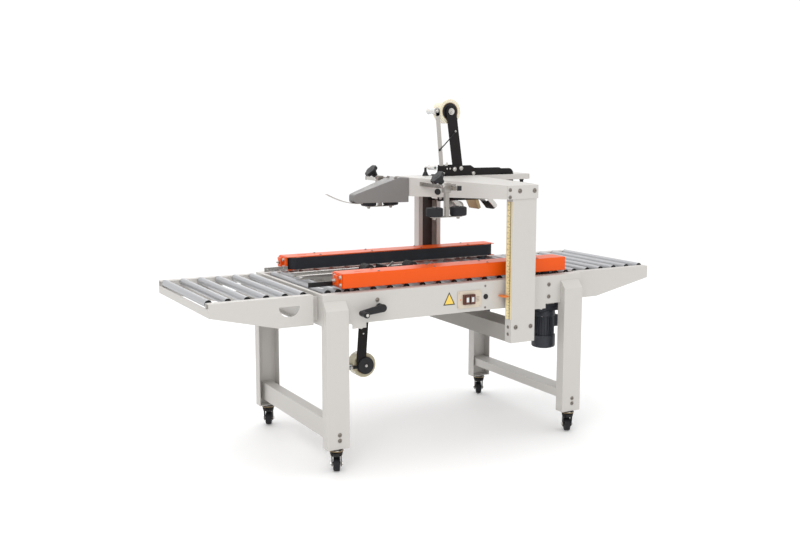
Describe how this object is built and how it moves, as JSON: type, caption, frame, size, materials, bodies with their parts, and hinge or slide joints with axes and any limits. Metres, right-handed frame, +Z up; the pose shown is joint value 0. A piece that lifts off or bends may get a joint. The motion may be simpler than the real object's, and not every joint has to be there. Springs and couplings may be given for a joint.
{
  "type": "carton sealer machine",
  "caption": "Side-belt carton sealer on casters: cream sheet-metal bed with roller tables, orange belt housings, and a height-adjustable head with tape rolls above and below",
  "frame": {"origin": "on the floor under the middle of the machine's length and width", "axes": "+X along the carton's travel to the outfeed, +Y away from the operator's side, +Z up"},
  "size_m": [1.794, 0.732, 1.2485],
  "materials": {
    "cream": "satin",
    "grey": "satin",
    "orange": "satin",
    "black": "satin",
    "motor": "satin",
    "belt": "matte",
    "rubber": "matte",
    "roller": "satin",
    "steel": "satin",
    "tape": "gloss",
    "plate": "satin",
    "button": "satin"
  },
  "bodies": {
    "base": {"main_bed": "cream", "leg_frame_left": "cream", "leg_frame_right": "cream", "infeed_frame": "cream", "outfeed_frame": "cream", "short_rollers_front": "roller", "short_rollers_rear": "roller", "switch_plate": "plate", "bottom_head_frame": "black"},
    "caster_fl": {"caster_fork_fl": "black"},
    "wheel_fl": {"caster_wheel_fl": "rubber"},
    "caster_fr": {"caster_fork_fr": "black"},
    "wheel_fr": {"caster_wheel_fr": "rubber"},
    "caster_bl": {"caster_fork_bl": "black"},
    "wheel_bl": {"caster_wheel_bl": "rubber"},
    "caster_br": {"caster_fork_br": "black"},
    "wheel_br": {"caster_wheel_br": "rubber"},
    "bed_roller_1": {"bed_roller_1": "roller"},
    "bed_roller_2": {"bed_roller_2": "roller"},
    "infeed_roller_1": {"infeed_roller_1": "roller"},
    "infeed_roller_2": {"infeed_roller_2": "roller"},
    "infeed_roller_3": {"infeed_roller_3": "roller"},
    "infeed_roller_4": {"infeed_roller_4": "roller"},
    "infeed_roller_5": {"infeed_roller_5": "roller"},
    "infeed_roller_6": {"infeed_roller_6": "roller"},
    "outfeed_roller_1": {"outfeed_roller_1": "roller"},
    "outfeed_roller_2": {"outfeed_roller_2": "roller"},
    "outfeed_roller_3": {"outfeed_roller_3": "roller"},
    "outfeed_roller_4": {"outfeed_roller_4": "roller"},
    "outfeed_roller_5": {"outfeed_roller_5": "roller"},
    "outfeed_roller_6": {"outfeed_roller_6": "roller"},
    "carriage_front": {"belt_housing_front": "orange", "drive_belt_front": "belt", "belt_motor_front": "motor"},
    "carriage_rear": {"belt_housing_rear": "orange", "drive_belt_rear": "belt", "belt_motor_rear": "motor"},
    "crank": {"width_crank": "black"},
    "gantry": {"column_front": "cream", "column_rear": "cream", "lower_beam": "cream", "head_frame": "cream", "head_nose": "grey", "top_head_frame": "black"},
    "press_clamp_front": {"press_clamp_front": "steel"},
    "press_post_front": {"press_post_front": "steel"},
    "press_wheel_front_1": {"press_wheel_front_1": "rubber"},
    "press_wheel_front_2": {"press_wheel_front_2": "rubber"},
    "press_clamp_rear": {"press_clamp_rear": "steel"},
    "press_post_rear": {"press_post_rear": "steel"},
    "press_wheel_rear_1": {"press_wheel_rear_1": "rubber"},
    "press_wheel_rear_2": {"press_wheel_rear_2": "rubber"},
    "top_tape": {"top_tape_roll": "tape"},
    "bottom_tape": {"bottom_tape_roll": "tape"},
    "top_front_arm": {"top_front_arm": "black"},
    "top_rear_arm": {"top_rear_arm": "black"},
    "bottom_front_arm": {"bottom_front_arm": "black"},
    "bottom_rear_arm": {"bottom_rear_arm": "black"},
    "start_button": {"start_button": "button"},
    "stop_button": {"stop_button": "button"}
  },
  "joints": [
    {"name": "caster_swivel_fl", "type": "hinge", "parent": "base", "child": "caster_fl", "pos_m": [-0.47555, -0.31, 0.083], "axis": [0, 0, 1], "continuous": true},
    {"name": "caster_roll_fl", "type": "hinge", "parent": "caster_fl", "child": "wheel_fl", "pos_m": [-0.46992, -0.2994, 0.025], "axis": [0.8829, -0.4695, 0], "continuous": true},
    {"name": "caster_swivel_fr", "type": "hinge", "parent": "base", "child": "caster_fr", "pos_m": [0.49245, -0.31, 0.083], "axis": [0, 0, 1], "continuous": true},
    {"name": "caster_roll_fr", "type": "hinge", "parent": "caster_fr", "child": "wheel_fr", "pos_m": [0.49808, -0.2994, 0.025], "axis": [0.8829, -0.4695, 0], "continuous": true},
    {"name": "caster_swivel_bl", "type": "hinge", "parent": "base", "child": "caster_bl", "pos_m": [-0.47555, 0.31, 0.083], "axis": [0, 0, 1], "continuous": true},
    {"name": "caster_roll_bl", "type": "hinge", "parent": "caster_bl", "child": "wheel_bl", "pos_m": [-0.46992, 0.3206, 0.025], "axis": [0.8829, -0.4695, 0], "continuous": true},
    {"name": "caster_swivel_br", "type": "hinge", "parent": "base", "child": "caster_br", "pos_m": [0.49245, 0.31, 0.083], "axis": [0, 0, 1], "continuous": true},
    {"name": "caster_roll_br", "type": "hinge", "parent": "caster_br", "child": "wheel_br", "pos_m": [0.49808, 0.3206, 0.025], "axis": [0.8829, -0.4695, 0], "continuous": true},
    {"name": "bed_roller_1_spin", "type": "hinge", "parent": "base", "child": "bed_roller_1", "pos_m": [-0.47155, 0, 0.598], "axis": [0, 1, 0], "continuous": true},
    {"name": "bed_roller_2_spin", "type": "hinge", "parent": "base", "child": "bed_roller_2", "pos_m": [-0.43305, 0, 0.598], "axis": [0, 1, 0], "continuous": true},
    {"name": "infeed_roller_1_spin", "type": "hinge", "parent": "base", "child": "infeed_roller_1", "pos_m": [-0.88415, 0, 0.598], "axis": [0, 1, 0], "continuous": true},
    {"name": "infeed_roller_2_spin", "type": "hinge", "parent": "base", "child": "infeed_roller_2", "pos_m": [-0.81895, 0, 0.598], "axis": [0, 1, 0], "continuous": true},
    {"name": "infeed_roller_3_spin", "type": "hinge", "parent": "base", "child": "infeed_roller_3", "pos_m": [-0.75375, 0, 0.598], "axis": [0, 1, 0], "continuous": true},
    {"name": "infeed_roller_4_spin", "type": "hinge", "parent": "base", "child": "infeed_roller_4", "pos_m": [-0.68855, 0, 0.598], "axis": [0, 1, 0], "continuous": true},
    {"name": "infeed_roller_5_spin", "type": "hinge", "parent": "base", "child": "infeed_roller_5", "pos_m": [-0.62335, 0, 0.598], "axis": [0, 1, 0], "continuous": true},
    {"name": "infeed_roller_6_spin", "type": "hinge", "parent": "base", "child": "infeed_roller_6", "pos_m": [-0.55815, 0, 0.598], "axis": [0, 1, 0], "continuous": true},
    {"name": "outfeed_roller_1_spin", "type": "hinge", "parent": "base", "child": "outfeed_roller_1", "pos_m": [0.56295, 0, 0.598], "axis": [0, 1, 0], "continuous": true},
    {"name": "outfeed_roller_2_spin", "type": "hinge", "parent": "base", "child": "outfeed_roller_2", "pos_m": [0.62725, 0, 0.598], "axis": [0, 1, 0], "continuous": true},
    {"name": "outfeed_roller_3_spin", "type": "hinge", "parent": "base", "child": "outfeed_roller_3", "pos_m": [0.69155, 0, 0.598], "axis": [0, 1, 0], "continuous": true},
    {"name": "outfeed_roller_4_spin", "type": "hinge", "parent": "base", "child": "outfeed_roller_4", "pos_m": [0.75585, 0, 0.598], "axis": [0, 1, 0], "continuous": true},
    {"name": "outfeed_roller_5_spin", "type": "hinge", "parent": "base", "child": "outfeed_roller_5", "pos_m": [0.82015, 0, 0.598], "axis": [0, 1, 0], "continuous": true},
    {"name": "outfeed_roller_6_spin", "type": "hinge", "parent": "base", "child": "outfeed_roller_6", "pos_m": [0.88445, 0, 0.598], "axis": [0, 1, 0], "continuous": true},
    {"name": "width_slide_front", "type": "slide", "parent": "base", "child": "carriage_front", "axis": [0, 1, 0], "range_m": [-0.015, 0.1]},
    {"name": "width_slide_rear", "type": "slide", "parent": "base", "child": "carriage_rear", "axis": [0, -1, 0], "range_m": [-0.015, 0.1]},
    {"name": "width_crank_turn", "type": "hinge", "parent": "base", "child": "crank", "pos_m": [-0.30905, -0.304, 0.5495], "axis": [0, 1, 0], "range_deg": [-270, 1800]},
    {"name": "head_height", "type": "slide", "parent": "base", "child": "gantry", "axis": [0, 0, 1], "range_m": [-0.1, 0.05]},
    {"name": "press_slide_front", "type": "slide", "parent": "gantry", "child": "press_clamp_front", "axis": [0, 1, 0], "range_m": [-0.03, 0.085]},
    {"name": "press_drop_front", "type": "slide", "parent": "press_clamp_front", "child": "press_post_front", "axis": [0, 0, 1], "range_m": [-0.02, 0.04]},
    {"name": "press_wheel_front_1_spin", "type": "hinge", "parent": "press_post_front", "child": "press_wheel_front_1", "pos_m": [-0.08905, -0.295, 0.8437], "axis": [0, 0, 1], "continuous": true},
    {"name": "press_wheel_front_2_spin", "type": "hinge", "parent": "press_post_front", "child": "press_wheel_front_2", "pos_m": [0.00695, -0.295, 0.8437], "axis": [0, 0, 1], "continuous": true},
    {"name": "press_slide_rear", "type": "slide", "parent": "gantry", "child": "press_clamp_rear", "axis": [0, 1, 0], "range_m": [0, 0.11]},
    {"name": "press_drop_rear", "type": "slide", "parent": "press_clamp_rear", "child": "press_post_rear", "axis": [0, 0, 1], "range_m": [-0.02, 0.04]},
    {"name": "press_wheel_rear_1_spin", "type": "hinge", "parent": "press_post_rear", "child": "press_wheel_rear_1", "pos_m": [-0.08905, 0.205, 0.8437], "axis": [0, 0, 1], "continuous": true},
    {"name": "press_wheel_rear_2_spin", "type": "hinge", "parent": "press_post_rear", "child": "press_wheel_rear_2", "pos_m": [0.00695, 0.205, 0.8437], "axis": [0, 0, 1], "continuous": true},
    {"name": "top_tape_spin", "type": "hinge", "parent": "gantry", "child": "top_tape", "pos_m": [0.13545, 0, 1.203], "axis": [0, 1, 0], "continuous": true},
    {"name": "bottom_tape_spin", "type": "hinge", "parent": "base", "child": "bottom_tape", "pos_m": [-0.22505, 0, 0.279], "axis": [0, 1, 0], "continuous": true},
    {"name": "top_front_arm_swing", "type": "hinge", "parent": "gantry", "child": "top_front_arm", "pos_m": [0.12445, 0, 0.902], "axis": [0, -1, 0], "range_deg": [0, 43], "stiffness_Nm_per_rad": 4, "springref_deg": -28.65},
    {"name": "top_rear_arm_swing", "type": "hinge", "parent": "gantry", "child": "top_rear_arm", "pos_m": [0.28245, 0, 0.902], "axis": [0, -1, 0], "range_deg": [0, 43], "stiffness_Nm_per_rad": 4, "springref_deg": -28.65},
    {"name": "bottom_front_arm_swing", "type": "hinge", "parent": "base", "child": "bottom_front_arm", "pos_m": [-0.25655, 0, 0.575], "axis": [0, 1, 0], "range_deg": [0, 43], "stiffness_Nm_per_rad": 4, "springref_deg": -28.65},
    {"name": "bottom_rear_arm_swing", "type": "hinge", "parent": "base", "child": "bottom_rear_arm", "pos_m": [-0.07655, 0, 0.575], "axis": [0, 1, 0], "range_deg": [0, 43], "stiffness_Nm_per_rad": 4, "springref_deg": -28.65},
    {"name": "start_press", "type": "slide", "parent": "base", "child": "start_button", "axis": [0, 1, 0], "range_m": [0, 0.003], "stiffness_N_per_m": 400, "springref_m": -0.002},
    {"name": "stop_press", "type": "slide", "parent": "base", "child": "stop_button", "axis": [0, 1, 0], "range_m": [0, 0.003], "stiffness_N_per_m": 400, "springref_m": -0.002}
  ],
  "couplings": [
    {"joint": "width_slide_rear", "follows": "width_slide_front", "ratio": 1},
    {"joint": "width_crank_turn", "follows": "width_slide_front", "rad_per_m": 314.16},
    {"joint": "top_rear_arm_swing", "follows": "top_front_arm_swing", "ratio": 1},
    {"joint": "bottom_rear_arm_swing", "follows": "bottom_front_arm_swing", "ratio": 1}
  ]
}
